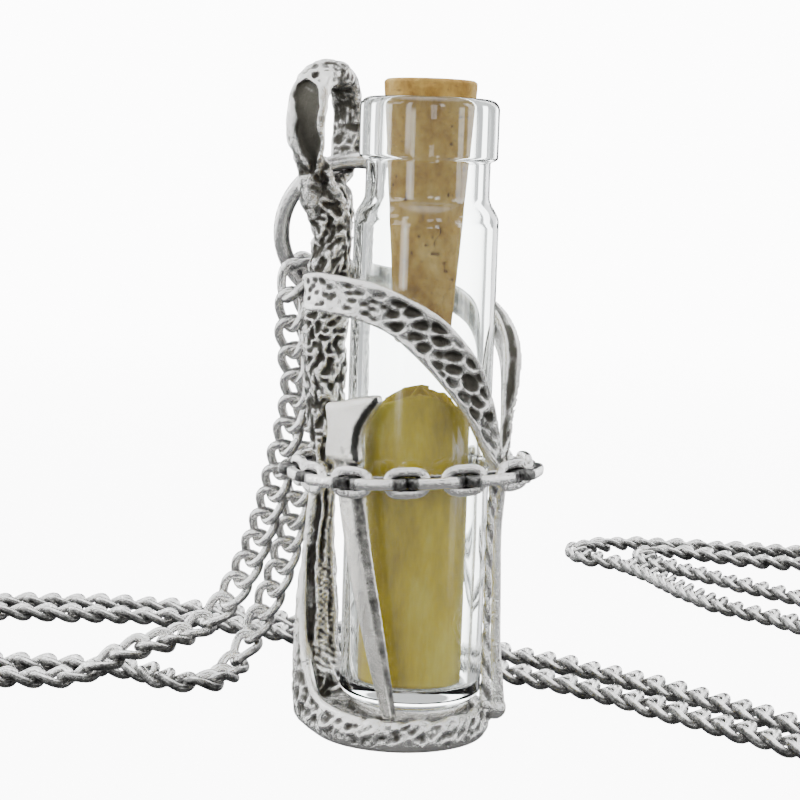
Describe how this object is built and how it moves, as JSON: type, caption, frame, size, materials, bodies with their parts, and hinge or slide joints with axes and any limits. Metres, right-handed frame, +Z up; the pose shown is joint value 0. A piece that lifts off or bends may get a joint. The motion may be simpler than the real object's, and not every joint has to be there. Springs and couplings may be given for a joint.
{
  "type": "bottle pendant on a neck chain",
  "caption": "Corked glass vial pendant with a paper roll inside, in a cast silver cage with post, eyelet, sash, hatchet and link girdle, on a jump ring and curb neck chain.",
  "frame": {"origin": "on the vial's axis, on the flat underside of the cage's base", "axes": "+Z up along the vial; -Y towards the front, where the sash and the girdle cross the glass; +X to the viewer's right, where the strut is"},
  "size_m": [0.1224, 0.1008, 0.0562],
  "materials": {
    "vial_glass": "clear blown glass",
    "cork": "natural cork, matt",
    "parchment": "satin, aged",
    "oxidised_silver": "cast silver, blackened in the recesses",
    "polished_silver": "polished silver",
    "girdle_silver": "cast silver, lightly blackened",
    "ring_silver": "brushed silver",
    "chain_silver": "silver, blackened between the links"
  },
  "bodies": {
    "pendant": {"glass_vial": "vial_glass", "paper_scroll": "parchment", "cage": "oxidised_silver", "axe": "polished_silver", "girdle_chain": "girdle_silver", "jump_ring": "ring_silver", "neck_chain": "chain_silver"},
    "cork": {"cork_stopper": "cork"}
  },
  "joints": [
    {"name": "cork_lift", "type": "slide", "parent": "pendant", "child": "cork", "axis": [0, 0, 1], "range_m": [0, 0.024]}
  ]
}
